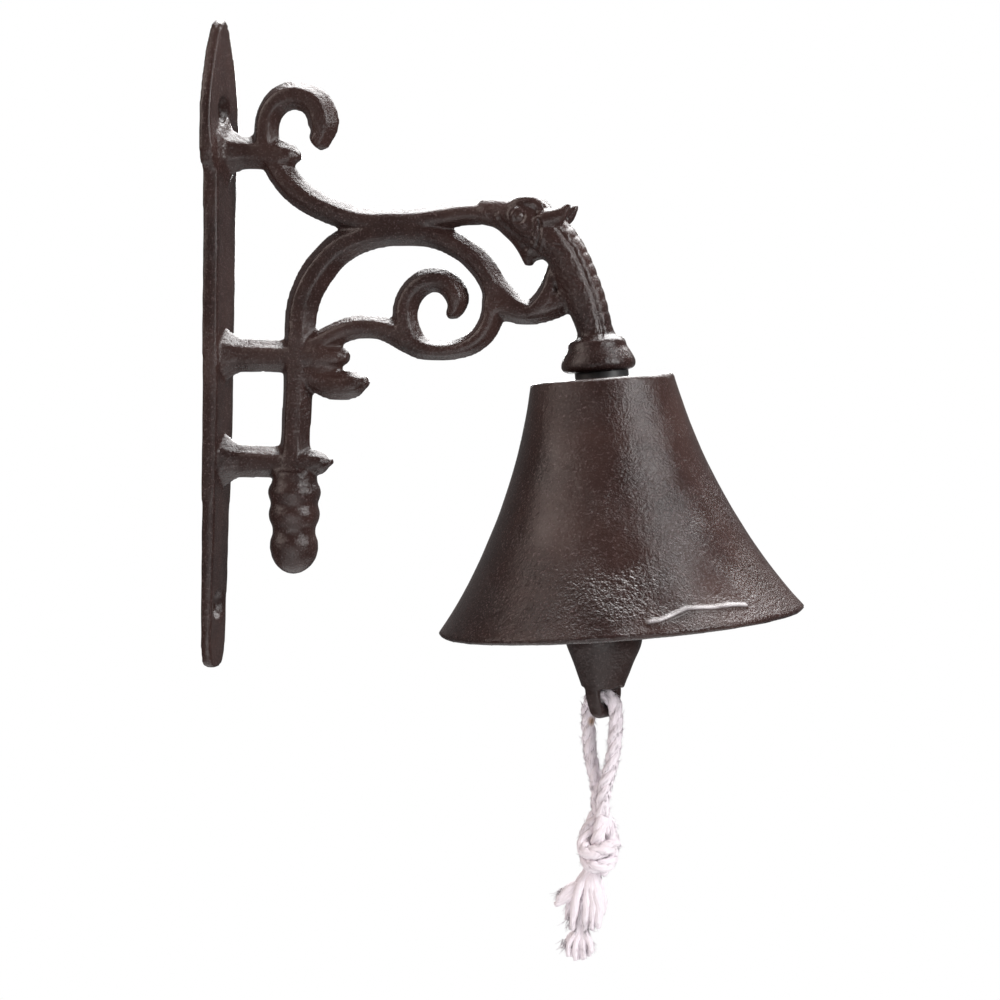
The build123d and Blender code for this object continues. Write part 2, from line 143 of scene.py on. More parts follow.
# %% [markdown]
# ## What the castings share: sand grain
#
# Iron poured into a sand mould keeps the sand's grain, and paint rounds it off into an orange peel. Two
# noises give it: a coarse one for the peel, a fine one for single grains. A displaced mesh would need millions
# of faces, so the grain is a height for a Bump node. Where the mould broke away the iron is coarser: the bell
# says where in an attribute named coarse, which reads as nought on a piece that has none.

# %% Sand grain group
CHIPS_DEPTH = 3.2                        # how much deeper the pits are than the peel


def make_sand_grain():
    tree, given, put = start_group(
        "sand grain",
        [("Peel", "NodeSocketFloat", 420.0), ("Grain", "NodeSocketFloat", 1300.0),
         ("Rough Share", "NodeSocketFloat", 0.5)],
        [("Height", "NodeSocketFloat"), ("Tops", "NodeSocketFloat"), ("Patches", "NodeSocketFloat")],
    )
    place = tree.nodes.new("ShaderNodeTexCoord").outputs["Object"]
    coarse = add(tree, "ShaderNodeAttribute", attribute_name="coarse").outputs["Fac"]
    peel = add(tree, "ShaderNodeTexNoise", ("Vector", place), ("Scale", given["Peel"]), Detail=2.0,
               Roughness=0.5)
    grain = add(tree, "ShaderNodeTexNoise", ("Vector", place), ("Scale", given["Grain"]), Detail=3.0,
                Roughness=0.65)
    patches = add(tree, "ShaderNodeTexNoise", ("Vector", place), Scale=48.0, Detail=3.0, Roughness=0.55)
    patch_mask = ramp(tree, patches.outputs["Fac"], (0.36, 0.45), (0.66, 1.0))
    fine = add(tree, "ShaderNodeMath", (0, grain.outputs["Fac"]), (1, given["Rough Share"]),
               operation="MULTIPLY")
    both = add(tree, "ShaderNodeMath", (0, peel.outputs["Fac"]), (1, fine.outputs[0]), operation="ADD")
    height = add(tree, "ShaderNodeMath", (0, both.outputs[0]), (1, patch_mask), operation="MULTIPLY")
    chips = add(tree, "ShaderNodeTexNoise", ("Vector", place), Scale=620.0, Detail=2.0, Roughness=0.7)
    chips_here = add(tree, "ShaderNodeMath", (0, chips.outputs["Fac"]), (1, coarse), operation="MULTIPLY")
    chips_deep = add(tree, "ShaderNodeMath", (0, chips_here.outputs[0]), operation="MULTIPLY")
    chips_deep.inputs[1].default_value = CHIPS_DEPTH
    total = add(tree, "ShaderNodeMath", (0, height.outputs[0]), (1, chips_deep.outputs[0]), operation="ADD")
    tops = ramp(tree, grain.outputs["Fac"], (0.56, 0.0), (0.74, 1.0))
    tree.links.new(total.outputs[0], put["Height"])
    tree.links.new(tops, put["Tops"])
    tree.links.new(patch_mask, put["Patches"])
    return tree


sand_grain = make_sand_grain()

# %% [markdown]
# ## Brown painted iron
#
# The paint is a very dark red brown, glossy enough to mirror a soft box as a broad speckled sheen. Its colour
# drifts a little from patch to patch, and the grain's tops are a touch lighter, where hands and weather have
# thinned it. A pale painted highlight goes where an attribute marks the upper side of the bell's flaw ridge.

# %% Brown painted iron
BROWN_DEEP = (0.0165, 0.0080, 0.0070)
BROWN_MID = (0.0375, 0.0190, 0.0160)
BROWN_WORN = (0.0900, 0.0600, 0.0600)
# pale colour of the painted highlight on the bell's flaw ridge
RIDGE_HIGHLIGHT_COLOUR = (0.60, 0.56, 0.57)
DULLER = 0.08                            # added roughness where the grain lies flat


def make_brown_iron(name, peel, grain, rough_share, bump_mm, gloss):
    """Painted cast iron; gloss is the roughness where the paint is smoothest."""
    material, tree, out = start_material(name)
    sand = use_group(tree, sand_grain, Peel=peel, Grain=grain, Rough_Share=rough_share)
    place = tree.nodes.new("ShaderNodeTexCoord").outputs["Object"]
    drift = add(tree, "ShaderNodeTexNoise", ("Vector", place), Scale=34.0, Detail=5.0, Roughness=0.6)
    drift_mask = ramp(tree, drift.outputs["Fac"], (0.32, 0.0), (0.70, 1.0))
    body = add(tree, "ShaderNodeMix", ("Factor", drift_mask), data_type="RGBA")
    body.inputs[6].default_value, body.inputs[7].default_value = (*BROWN_DEEP, 1), (*BROWN_MID, 1)
    worn = add(tree, "ShaderNodeMix", ("Factor", sand.outputs["Tops"]), data_type="RGBA")
    tree.links.new(body.outputs[2], worn.inputs[6])
    worn.inputs[7].default_value = (*BROWN_WORN, 1)
    # painted highlight: the pale colour is mixed in where the bell's attribute marks its flaw ridge
    highlight_share = add(tree, "ShaderNodeAttribute", attribute_name="ridge_highlight").outputs["Fac"]
    ridge_highlight = add(tree, "ShaderNodeMix", ("Factor", highlight_share), data_type="RGBA")
    tree.links.new(worn.outputs[2], ridge_highlight.inputs[6])
    ridge_highlight.inputs[7].default_value = (*RIDGE_HIGHLIGHT_COLOUR, 1)
    rough = add(tree, "ShaderNodeMapRange", ("Value", sand.outputs["Patches"]), To_Min=gloss + DULLER,
                To_Max=gloss)
    bump = add(tree, "ShaderNodeBump", ("Height", sand.outputs["Height"]), Distance=bump_mm * MM, Strength=1.0)
    shader = add(tree, "ShaderNodeBsdfPrincipled", ("Base Color", ridge_highlight.outputs[2]),
                 ("Roughness", rough.outputs[0]), ("Normal", bump.outputs[0]), Specular_IOR_Level=0.33)
    tree.links.new(shader.outputs[0], out.inputs[0])
    return material


iron_bracket = make_brown_iron("brown iron bracket", 560.0, 1500.0, 0.90, 0.28, 0.20)
iron_bell = make_brown_iron("brown iron bell", 520.0, 1350.0, 1.25, 0.28, 0.16)
iron_clapper = make_brown_iron("brown iron clapper", 520.0, 1300.0, 0.7, 0.28, 0.36)

# %% Steel and black fittings
def make_zinc(name):
    """Zinc plated steel: pale grey, softly blotched."""
    material, tree, out = start_material(name)
    place = tree.nodes.new("ShaderNodeTexCoord").outputs["Object"]
    blotch = add(tree, "ShaderNodeTexVoronoi", ("Vector", place), Scale=520.0)
    tint = ramp(tree, blotch.outputs["Color"], (0.1, (0.42, 0.42, 0.40)), (0.9, (0.60, 0.60, 0.58)))
    fine = add(tree, "ShaderNodeTexNoise", ("Vector", place), Scale=1400.0, Detail=3.0)
    rough = add(tree, "ShaderNodeMapRange", ("Value", fine.outputs["Fac"]), To_Min=0.30, To_Max=0.48)
    bump = add(tree, "ShaderNodeBump", ("Height", fine.outputs["Fac"]), Distance=0.03 * MM, Strength=0.6)
    shader = add(tree, "ShaderNodeBsdfPrincipled", ("Base Color", tint), ("Roughness", rough.outputs[0]),
                 ("Normal", bump.outputs[0]), Metallic=1.0)
    tree.links.new(shader.outputs[0], out.inputs[0])
    return material


def make_black(name):
    """Black oxide on the spacer, oily and dark."""
    material, tree, out = start_material(name)
    place = tree.nodes.new("ShaderNodeTexCoord").outputs["Object"]
    fine = add(tree, "ShaderNodeTexNoise", ("Vector", place), Scale=900.0, Detail=4.0)
    tint = ramp(tree, fine.outputs["Fac"], (0.3, (0.006, 0.006, 0.007)), (0.75, (0.022, 0.021, 0.021)))
    rough = add(tree, "ShaderNodeMapRange", ("Value", fine.outputs["Fac"]), To_Min=0.38, To_Max=0.6)
    bump = add(tree, "ShaderNodeBump", ("Height", fine.outputs["Fac"]), Distance=0.05 * MM, Strength=0.6)
    shader = add(tree, "ShaderNodeBsdfPrincipled", ("Base Color", tint), ("Roughness", rough.outputs[0]),
                 ("Normal", bump.outputs[0]))
    tree.links.new(shader.outputs[0], out.inputs[0])
    return material


zinc = make_zinc("zinc steel")
black = make_black("black steel")
for node, material in (("crown_washer", zinc), ("lock_nut", zinc), ("eye_bolt", zinc), ("clapper_link", zinc),
                       ("crown_spacer", black)):
    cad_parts[node].data.materials.clear()
    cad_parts[node].data.materials.append(material)

# %% [markdown]
# ## Castings from the CAD
#
# The CAD has the right shape but machined edges. A real casting is soft: edges are rounded, joints are
# filled, and no face is quite flat. So a copy is merged, cut into even small faces by a voxel remesh, and
# smoothed a little; then a slow noise moves its surface by a tenth of a millimetre.

# %% Casting helpers
def welded_copy(node, name):
    """A merged copy of a CAD node's mesh, as a new piece."""
    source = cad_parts[node]
    mesh = source.data.copy()
    bm = bmesh.new()
    bm.from_mesh(mesh)
    bmesh.ops.remove_doubles(bm, verts=bm.verts, dist=1e-6)
    bm.to_mesh(mesh)
    bm.free()
    mesh.materials.clear()
    piece = bpy.data.objects.new(name, mesh)
    bpy.context.collection.objects.link(piece)
    return piece


def apply_modifiers(piece):
    """The piece's modifiers made real in its mesh."""
    graph = bpy.context.evaluated_depsgraph_get()
    mesh = bpy.data.meshes.new_from_object(piece.evaluated_get(graph))
    piece.modifiers.clear()
    old, piece.data = piece.data, mesh
    bpy.data.meshes.remove(old)


def cast(piece, voxel_mm, rounds, share=0.5):
    """Even faces by a voxel remesh, then rounds of smoothing that soften every edge."""
    remesh = piece.modifiers.new("even", "REMESH")
    remesh.mode, remesh.voxel_size, remesh.adaptivity = "VOXEL", voxel_mm * MM, 0.0
    soften = piece.modifiers.new("soften", "SMOOTH")
    soften.factor, soften.iterations = share, rounds
    apply_modifiers(piece)


def roughen(piece, scale_mm, depth_mm, seed, swell_mm=0.0):
    """The surface moved along its normals by a slow noise; swell_mm gives back what the smoothing took."""
    offset = Vector((seed * 3.1, seed * 7.7, seed * 1.3))
    mesh = piece.data
    normals = [v.normal.copy() for v in mesh.vertices]
    for v, n in zip(mesh.vertices, normals):
        v.co += n * (noise.noise(v.co / (scale_mm * MM) + offset) * depth_mm + swell_mm) * MM
    mesh.update()


def finish_piece(piece, material, body, slot, *nodes):
    """Material, smooth faces, the body that it rides on and the CAD nodes that it stands for."""
    piece.data.materials.clear()
    piece.data.materials.append(material)
    for face in piece.data.polygons:
        face.use_smooth = True
    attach(piece, body)
    if nodes:
        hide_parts(*nodes)
    print(piece.name, "faces", len(piece.data.polygons))


# %% [markdown]
# ## Detail that the mould's maker carved
#
# The animal's head and neck carry shallow carving: an eye, a jaw line, hair and a rope-like mane. Such relief
# is well under a millimetre deep, so it is made by moving vertices along their normals, after the faces there
# are split once to make room for it. A bump texture would not change the outline, and the mane does.

# %% Carving helpers
def refine(piece, inside):
    """The faces whose centre is inside are split in four."""
    bm = bmesh.new()
    bm.from_mesh(piece.data)
    edges = {e for f in bm.faces if inside(f.calc_center_median() / MM) for e in f.edges}
    bmesh.ops.subdivide_edges(bm, edges=list(edges), cuts=1, use_grid_fill=True)
    bmesh.ops.triangulate(bm, faces=[f for f in bm.faces if len(f.verts) > 4])
    bm.to_mesh(piece.data)
    bm.free()


def carve(piece, depth_at):
    """Each vertex moved along its normal by depth_at(place in mm, normal), in mm."""
    mesh = piece.data
    normals = [v.normal.copy() for v in mesh.vertices]
    for v, n in zip(mesh.vertices, normals):
        step = depth_at(v.co / MM, n)
        if step:
            v.co += n * step * MM
    mesh.update()


def bump_at(distance, width):
    """One at nought, falling to nearly nothing one and a half widths away."""
    return math.exp(-((distance / width) ** 2) * 1.5)


def along_line(x, z, line):
    """Distance run along a line of (x, z, half height) stations, and the signed share across it."""
    best, run = None, 0.0
    for (ax, az, ah), (bx, bz, bh) in zip(line, line[1:]):
        dx, dz = bx - ax, bz - az
        length = math.hypot(dx, dz)
        t = min(1.0, max(0.0, ((x - ax) * dx + (z - az) * dz) / (length * length)))
        px, pz = x - ax - dx * t, z - az - dz * t
        off = math.hypot(px, pz)
        if best is None or off < best[0]:
            side = (px * -dz + pz * dx) / length
            best = (off, run + length * t, side / (ah + (bh - ah) * t))
        run += length
    return best[1], best[2]


def nearest(x, z, line):
    """Distance from a line of (x, z) stations."""
    best = FAR
    for (ax, az), (bx, bz) in zip(line, line[1:]):
        dx, dz = bx - ax, bz - az
        length = math.hypot(dx, dz)
        t = min(1.0, max(0.0, ((x - ax) * dx + (z - az) * dz) / (length * length)))
        off = math.hypot(x - ax - dx * t, z - az - dz * t)
        best = min(best, off)
    return best


# %% Carving of the head and neck
NECK_LINE = [(108, 48.4, 7.2), (111.8, 47.0, 8.0), (118.0, 43.3, 7.4), (123.8, 37.3, 6.3), (127.0, 30.6, 6.6),
             (130.4, 22.6, 6.4), (133.3, 14.6, 5.7), (135.0, 7.4, 5.5)]
JAW_LINE = [(102.6, 48.6), (106.4, 45.2), (110.0, 42.4), (113.8, 41.6)]
CHEEK_LINE = [(116.2, 48.0), (116.4, 44.0), (115.4, 40.6)]
EYE = (109.4, 49.2)
EYE_SOCKET_R, EYE_BALL_R = 2.7, 1.5
EAR_PIT = (114.6, 50.8)
GROOVE_WIDTH = 0.8
MANE_GROOVE = 0.62                       # where the groove before the mane lies, as a share of half the neck
MANE_START = 0.66


def head_relief(place, normal):
    """Eye, jaw line, cheek hair, mane and neck hair, as one depth."""
    x, y, z = place
    if x < 97 or z < 8.5 or (x < 112 and z < 31) or (x < 121 and z < 34.5):
        return 0.0
    side = min(1.0, abs(normal.y) * 1.6)
    depth = 0.0
    eye = math.hypot(x - EYE[0], z - EYE[1])
    if eye < 6:
        depth += side * (0.24 * bump_at(eye - EYE_SOCKET_R, 1.0) - 0.30 * bump_at(eye - EYE_BALL_R, 0.6)
                         - 0.10 * bump_at(eye, 0.6))
        depth -= side * 0.35 * bump_at(math.hypot(x - EAR_PIT[0], z - EAR_PIT[1]), 1.5)
    for line, deep in ((JAW_LINE, 0.40), (CHEEK_LINE, 0.45)):
        near = nearest(x, z, line)
        depth -= side * deep * bump_at(near, GROOVE_WIDTH)
        depth += side * 0.55 * deep * bump_at(near - 1.5, GROOVE_WIDTH)
    s, u = along_line(x, z, NECK_LINE)
    fade = min(1.0, max(0.0, (s - 11.0) / 4.0)) * min(1.0, max(0.0, (z - 9.5) / 2.5))
    if fade and u < 1.6:
        wave = 0.12 * math.sin(s * 0.55) + 0.05 * math.sin(s * 1.7 + 1.0)
        depth += fade * side * 0.07 * math.cos((u + wave) * 21.0) * min(1.0, max(0.0, (0.55 - u) * 5))
        depth -= fade * side * 0.32 * bump_at(u - MANE_GROOVE, 0.12)
        if u > MANE_START:
            depth += fade * (0.04 + 0.24 * abs(math.sin(s * 0.80 + 1.4 * u))) * min(1.0, (u - MANE_START) * 8)
    return depth


# %% Bracket casting
bracket = welded_copy("bracket", "bracket_casting")
cast(bracket, voxel_mm=0.72, rounds=5)
refine(bracket, lambda c: c.x > 98 and c.z > 8 and (c.x > 112 or c.z > 31))
carve(bracket, head_relief)
roughen(bracket, scale_mm=6.0, depth_mm=0.14, seed=1, swell_mm=0.14)
finish_piece(bracket, iron_bracket, "frame", "brown_iron", "bracket")

# %% [markdown]
# ## The bell's flaws
#
# Near its mouth the bell has a raised wavy line, where the two halves of the mould met badly, and beside it a
# patch of coarse pitted iron. The line is carved on the mesh, so that light catches its edge, and a pale
# highlight is painted on its upper side. The pitting and the highlight are attributes that the material reads.

# %% Bell casting
BELL_PLACE = Vector((136.7, 0.0, -2.8))
BELL_TILT = math.radians(5.85)
FLAW = [(75.6, -68.5), (75.4, -65.0), (74.4, -61.0), (72.9, -55.5), (73.1, -50.0), (73.6, -45.5), (73.5, -39.0),
        (74.2, -33.0)]                       # (depth, angle) stations
# the last width is that of the painted highlight on the ridge's upper side
FLAW_HEIGHT, FLAW_WIDTH, RIDGE_HIGHLIGHT_WIDTH = 0.95, 0.7, 0.42
MM_PER_DEGREE = 0.9                      # round the bell, near its mouth


def bell_place(place):
    """Depth under the crown in mm and angle about the bell's axis in degrees, from +X towards +Y."""
    way = place - BELL_PLACE
    sin, cos = math.sin(BELL_TILT), math.cos(BELL_TILT)
    depth = way.x * sin - way.z * cos
    return depth, math.degrees(math.atan2(way.y, way.x * cos + way.z * sin))


def from_flaw(place):
    """How far below the flaw, or above it when negative, and how far from it, in mm."""
    depth, angle = bell_place(place)
    best, below = FAR, 0.0
    for (d0, a0), (d1, a1) in zip(FLAW, FLAW[1:]):
        t = min(1.0, max(0.0, (angle - a0) / (a1 - a0)))
        down = depth - d0 - (d1 - d0) * t
        off = math.hypot(down, (angle - a0 - (a1 - a0) * t) * MM_PER_DEGREE)
        if off < best:
            best, below = off, down
    return below, best


def off_the_flaw(place, normal):
    """The bell's inside and every part that the flaw doesn't reach."""
    return place.y > -5 or normal.y > 0.2 or place.z > -55


def flaw_relief(place, normal):
    """A thin ridge along the flaw, on the outside only."""
    if off_the_flaw(place, normal):
        return 0.0
    _, off = from_flaw(place)
    return FLAW_HEIGHT * bump_at(off, FLAW_WIDTH) if off < 3 else 0.0


def ridge_highlight_at(place, normal):
    """A painted highlight on the ridge's upper side, stronger in some places than in others."""
    if off_the_flaw(place, normal):
        return 0.0
    below, off = from_flaw(place)
    patchy = 0.75 + 0.6 * noise.noise(place * 0.22)
    return bump_at(math.hypot(below + 0.30, off - abs(below)), RIDGE_HIGHLIGHT_WIDTH) * patchy


bell = welded_copy("bell", "bell_casting")
cast(bell, voxel_mm=0.85, rounds=1)
refine(bell, lambda c: c.y < -15 and c.z < -64 and c.x > 130)
roughen(bell, scale_mm=9.0, depth_mm=0.10, seed=2, swell_mm=0.12)
carve(bell, flaw_relief)
bell.data.attributes.new("coarse", "FLOAT", "POINT")
# the painted highlight on the flaw ridge's upper side, kept as an attribute; coarse marks the pitted patch
ridge_highlight = bell.data.attributes.new("ridge_highlight", "FLOAT", "POINT")
for v, mark, highlight_share in zip(bell.data.vertices, bell.data.attributes["coarse"].data, ridge_highlight.data):
    depth, angle = bell_place(v.co / MM)
    highlight_share.value = max(0.0, ridge_highlight_at(v.co / MM, v.normal))
    across = max(abs(angle + 84) / 24, abs(depth - 66) / 10)
    spread = 1.25 - across + 0.5 * noise.noise(v.co * 90)
    mark.value = min(1.0, max(0.10 if depth > 20 else 0.0, spread))
finish_piece(bell, iron_bell, "frame", "brown_iron", "bell")

# %% Clapper casting
clapper = welded_copy("clapper", "clapper_casting")
cast(clapper, voxel_mm=0.45, rounds=2)
roughen(clapper, scale_mm=5.0, depth_mm=0.12, seed=3)
finish_piece(clapper, iron_clapper, "clapper", "brown_iron", "clapper")

# %% [markdown]
# ## The rope
#
# The rope is soft cotton, laid from three strands of many yarns. It is threaded through the clapper's eye, so
# two legs hang side by side, and one overhand knot ties them together. Below the knot the ends are untwisted
# and frayed. Each strand is a small ring of vertices extruded along its own helix round the rope's line,
# because a texture on a plain tube has no bumps in its outline.

# %% Cotton
def make_cotton():
    """Undyed cotton: yarns as fine ridges along the strand, fuzz between them, and a small rust stain."""
    material, tree, out = start_material("cotton")
    uv = tree.nodes.new("ShaderNodeUVMap")
    uv.uv_map = "strand"
    split = add(tree, "ShaderNodeSeparateXYZ", ("Vector", uv.outputs[0]))
    turn = add(tree, "ShaderNodeMath", (0, split.outputs[0]), operation="MULTIPLY")
    turn.inputs[1].default_value = YARNS_ROUND * 2 * math.pi
    twist = add(tree, "ShaderNodeMath", (0, split.outputs[1]), (1, turn.outputs[0]), operation="ADD")
    yarns = add(tree, "ShaderNodeMath", (0, twist.outputs[0]), operation="SINE")
    place = tree.nodes.new("ShaderNodeTexCoord").outputs["Object"]
    fuzz = add(tree, "ShaderNodeTexNoise", ("Vector", place), Scale=2600.0, Detail=4.0, Roughness=0.7)
    soft = add(tree, "ShaderNodeTexNoise", ("Vector", place), Scale=420.0, Detail=3.0, Roughness=0.6)
    height = add(tree, "ShaderNodeMath", (0, yarns.outputs[0]), (2, fuzz.outputs["Fac"]),
                 operation="MULTIPLY_ADD")
    height.inputs[1].default_value = 0.30
    shade = ramp(tree, soft.outputs["Fac"], (0.30, (0.80, 0.72, 0.765)), (0.70, (0.86, 0.785, 0.83)))
    gap = add(tree, "ShaderNodeVectorMath", (0, place), operation="DISTANCE")
    gap.inputs[1].default_value = STAIN
    reach = add(tree, "ShaderNodeMapRange", ("Value", gap.outputs["Value"]), From_Max=STAIN_R)
    stain = ramp(tree, reach.outputs[0], (0.25, 0.85), (0.80, 0.0))
    tint = add(tree, "ShaderNodeMix", ("Factor", stain), data_type="RGBA")
    tree.links.new(shade, tint.inputs[6])
    tint.inputs[7].default_value = (0.36, 0.20, 0.10, 1)
    bump = add(tree, "ShaderNodeBump", ("Height", height.outputs[0]), Distance=0.13 * MM, Strength=0.9)
    shader = add(tree, "ShaderNodeBsdfPrincipled", ("Base Color", tint.outputs[2]), ("Normal", bump.outputs[0]),
                 Roughness=0.95, Specular_IOR_Level=0.15, Sheen_Weight=0.35, Sheen_Roughness=0.5)
    tree.links.new(shader.outputs[0], out.inputs[0])
    return material


ROPE_X = 0.139146
EYE_Z = -0.1072
ROPE_D = 0.0048
LAY_MM = 15.5                            # along the rope, for one turn of a strand
STAIN, STAIN_R = (ROPE_X - 0.0034, 0.0006, -0.1163), 2.6 * MM
YARNS_ROUND = 9.0                        # whole yarns round one strand, so that the pattern closes
cotton = make_cotton()

# %% Strand helpers
STRAND_SHARE, OFFSET_SHARE = 0.60, 0.42      # a strand's radius and its distance out, as shares of the rope's
FIBRE_RADII = [0.10 * MM, 0.09 * MM, 0.07 * MM, 0.03 * MM]


def spline_points(points, order=3):
    """A smooth line through space, read from a NURBS curve that these points steer."""
    curve = bpy.data.curves.new("line", "CURVE")
    curve.dimensions, curve.resolution_u = "3D", 14
    spline = curve.splines.new("NURBS")
    spline.points.add(len(points) - 1)
    for control, place in zip(spline.points, points):
        control.co = (*place, 1.0)
    spline.order_u, spline.use_endpoint_u = order, True
    holder = bpy.data.objects.new("line", curve)
    mesh = bpy.data.meshes.new_from_object(holder)
    line = [v.co.copy() for v in mesh.vertices]
    bpy.data.meshes.remove(mesh)
    bpy.data.objects.remove(holder)
    bpy.data.curves.remove(curve)
    return line


def even_steps(line, step):
    """The same line, cut into equal steps."""
    run = [0.0]
    for a, b in zip(line, line[1:]):
        run.append(run[-1] + (b - a).length)
    count = max(2, round(run[-1] / step))
    out, k = [], 0
    for i in range(count + 1):
        want = run[-1] * i / count
        while k < len(run) - 2 and run[k + 1] < want:
            k += 1
        share = (want - run[k]) / max(1e-9, run[k + 1] - run[k])
        out.append(line[k].lerp(line[k + 1], min(1.0, share)))
    return out


def frames_along(line):
    """For each point, two directions across the line that don't spin about it."""
    out, across = [], None
    for i in range(len(line)):
        way = (line[min(i + 1, len(line) - 1)] - line[max(i - 1, 0)]).normalized()
        if across is None:
            across = way.orthogonal().normalized()
        across = (across - way * across.dot(way)).normalized()
        out.append((across.copy(), way.cross(across)))
    return out


def strand(bm, uv, line, radii, sides=9, turn=0.0):
    """A closed round strand, extruded along the line; its UV is (share round, run in mm)."""
    frames = frames_along(line)
    start = bmesh.ops.create_circle(bm, cap_ends=True, segments=sides, radius=1.0)["verts"]
    edges = list({e for v in start for e in v.link_edges})
    spot = {v: k for k, v in enumerate(start)}
    run, marks = 0.0, {}
    for i, (centre, (a, b), radius) in enumerate(zip(line, frames, radii)):
        if i:
            run += (centre - line[i - 1]).length / MM
            made = bmesh.ops.extrude_edge_only(bm, edges=edges)["geom"]
            fresh = [g for g in made if isinstance(g, bmesh.types.BMVert)]
            edges = [g for g in made if isinstance(g, bmesh.types.BMEdge) and all(v in fresh for v in g.verts)]
            spot = {v: spot[e.other_vert(v)] for v in fresh for e in v.link_edges if e.other_vert(v) in spot}
        for v, k in spot.items():
            angle = 2 * math.pi * k / sides
            v.co = centre + (a * math.cos(angle) + b * math.sin(angle)) * radius
            marks[v] = (k / sides, run + turn)
    bmesh.ops.contextual_create(bm, geom=edges)
    for face in {f for v in marks for f in v.link_faces}:
        wraps = any(marks[v][0] == 0 for v in face.verts) and any(marks[v][0] > 0.6 for v in face.verts)
        for loop in face.loops:
            share, far = marks[loop.vert]
            loop[uv].uv = (share + 1.0 if wraps and share == 0 else share, far)


def rope(bm, uv, line, rope_r, lay_mm, start=0.0, step=0.8, sides=9):
    """Three strands laid round the line; lay_mm is how far one of them goes for a full turn."""
    line = even_steps(line, step * MM)
    frames = frames_along(line)
    strand_r, off = rope_r * STRAND_SHARE, rope_r * OFFSET_SHARE
    for k in range(3):
        path, run = [], 0.0
        for i, (centre, (a, b)) in enumerate(zip(line, frames)):
            run += (centre - line[i - 1]).length / MM if i else 0.0
            angle = 2 * math.pi * ((run + start) / lay_mm + k / 3)
            path.append(centre + (a * math.cos(angle) + b * math.sin(angle)) * off)
        radii = [strand_r * (1 + 0.24 * noise.noise(place / (1.7 * MM))) for place in path]
        path = [place + noise.noise_vector(place / (3.5 * MM)) * 0.16 * MM for place in path]
        strand(bm, uv, path, radii, sides)


def fibre(bm, uv, dice, start, way, length):
    """One loose fibre: three-sided, thin and bent."""
    bend = Vector((dice.uniform(-0.5, 0.5), dice.uniform(-0.5, 0.5), dice.uniform(-0.2, 0.2)))
    line = [(start + way * length * t + bend * length * t * t) * MM for t in (0.0, 0.35, 0.7, 1.0)]
    strand(bm, uv, line, FIBRE_RADII, 3)


def fuzz(bm, uv, dice, line, rope_r, count):
    """Loose fibres that stand a little off a rope, lying mostly along it."""
    line = even_steps(line, 0.5 * MM)
    frames = frames_along(line)
    for _ in range(count):
        k = dice.randrange(2, len(line) - 2)
        angle = dice.uniform(0, 2 * math.pi)
        out = frames[k][0] * math.cos(angle) + frames[k][1] * math.sin(angle)
        along = (line[k + 1] - line[k - 1]).normalized() * dice.choice((-1.0, 1.0))
        fibre(bm, uv, dice, (line[k] + out * rope_r * 0.90) / MM, (out * 0.35 + along).normalized(),
              dice.uniform(0.8, 1.8))


def start_piece():
    bm = bmesh.new()
    return bm, bm.loops.layers.uv.new("strand")


def close_piece(bm, name, material, body, slot, *nodes):
    """The bmesh made a piece, with its faces turned outwards."""
    bmesh.ops.recalc_face_normals(bm, faces=bm.faces)
    mesh = bpy.data.meshes.new(name)
    bm.to_mesh(mesh)
    bm.free()
    piece = bpy.data.objects.new(name, mesh)
    bpy.context.collection.objects.link(piece)
    finish_piece(piece, material, body, slot, *nodes)
    return piece


# %% Two legs of rope
X, Z = ROPE_X / MM, EYE_Z / MM
EYE_TURN = math.radians(25)              # the eye faces a little in front of +X
SIDE, FRONT = 5.8 * math.cos(EYE_TURN), -5.8 * math.sin(EYE_TURN)
ROUTE_OUT = [(X, 0, Z), (X + SIDE, FRONT, Z), (X + 5.4, -2.6, Z - 11.4), (X + 4.5, -2.5, Z - 21.7),
             (X + 1.3, -2.15, Z - 31.6), (X + 1.3, -2.15, -147)]
ROUTE_IN = [(X, 0, Z), (X - SIDE, -FRONT, Z), (X - 5.2, 2.4, Z - 11.2), (X - 4.4, 2.3, Z - 21.2),
            (X - 1.3, 2.15, Z - 31.3), (X - 1.3, 2.15, -147)]


def make_leg(name, route, node):
    """A rope along its route, as a piece and its line."""
    line = spline_points([Vector(p) * MM for p in route])
    bm, uv = start_piece()
    rope(bm, uv, line, ROPE_D / 2, LAY_MM)
    fuzz(bm, uv, random.Random(name), line, ROPE_D / 2, 420)
    leg = close_piece(bm, name, cotton, "rope", "cotton", node)
    length = sum((b - a).length for a, b in zip(line, line[1:]))
    print(name, "length in mm", round(length / MM, 1))
    return leg, line, length


leg_out, line_out, length_out = make_leg("rope_leg_out_strands", ROUTE_OUT, "rope_leg_out")
leg_in, line_in, length_in = make_leg("rope_leg_in_strands", ROUTE_IN, "rope_leg_in")

# %% [markdown]
# ## The knot
#
# An overhand knot in doubled rope shows a lobe on each side, two wraps across the front and the legs diving
# into a dark cleft between them. One rope is led round as the real one goes: over, round the back, and down
# through, and a second one makes the lobe on the far side.

# %% Knot
WRAP_R, DIVE_R = 2.45 * MM, 2.3 * MM
WRAP_LAY_MM, KNOT_STEP = 15.0, 0.7


def shifted(points):
    """Points given from the rope's own line, in mm, as places in metres."""
    return [Vector((X + dx, dy, z)) * MM for dx, dy, z in points]


